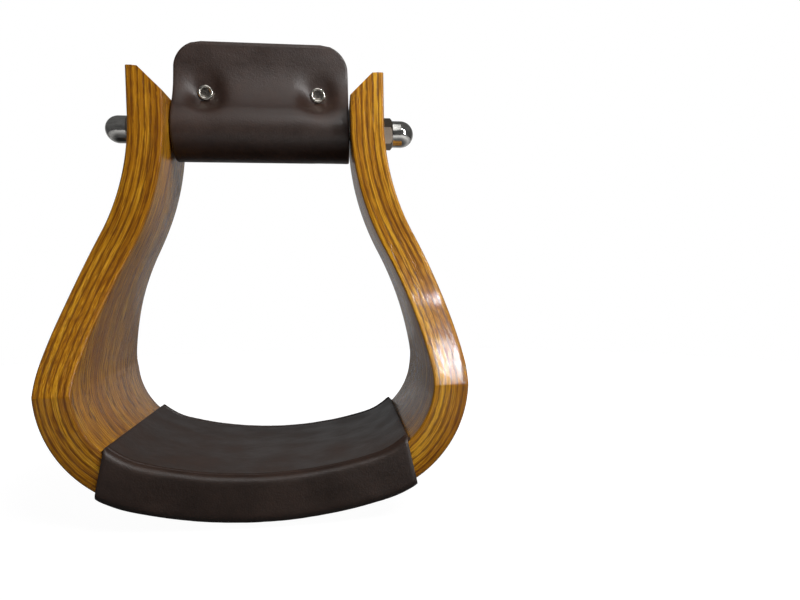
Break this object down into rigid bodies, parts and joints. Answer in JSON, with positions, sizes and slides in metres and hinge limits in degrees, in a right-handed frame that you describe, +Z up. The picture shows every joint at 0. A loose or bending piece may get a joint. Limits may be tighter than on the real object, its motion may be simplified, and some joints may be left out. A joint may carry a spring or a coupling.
{
  "type": "western bell stirrup",
  "caption": "Bentwood bell stirrup: laminated oak frame, leather-covered tread laced underneath, and a leather-wrapped roller turning on a bolt across the neck.",
  "frame": {"origin": "under the middle of the tread, on the surface the stirrup stands on", "axes": "+Z up along the neck, +X across the stirrup from arm to arm, +Y along the rider's foot"},
  "size_m": [0.1756, 0.1066, 0.2127],
  "materials": {
    "oak": "gloss varnish",
    "brown_leather": "smooth, semi-matt",
    "rawhide": "matt",
    "bolt_steel": "plain",
    "polished_steel": "polished",
    "nickel": "polished nickel",
    "roller_plastic": "plain"
  },
  "bodies": {
    "frame": {"oak_ply_1": "oak", "oak_ply_2": "oak", "oak_ply_3": "oak", "oak_ply_4": "oak", "oak_ply_5": "oak", "oak_ply_6": "oak", "tread_leather": "brown_leather", "tread_lace": "rawhide", "stirrup_bolt": "bolt_steel", "left_cap_nut": "polished_steel", "right_cap_nut": "polished_steel"},
    "roller": {"bolt_roller": "roller_plastic", "bolt_wrap": "brown_leather", "left_rivet_post": "nickel", "right_rivet_post": "nickel", "left_rivet_cap": "nickel", "right_rivet_cap": "nickel"}
  },
  "joints": [
    {"name": "roller_spin", "type": "hinge", "parent": "frame", "child": "roller", "pos_m": [0, 0, 0.1725], "axis": [1, 0, 0], "continuous": true}
  ]
}
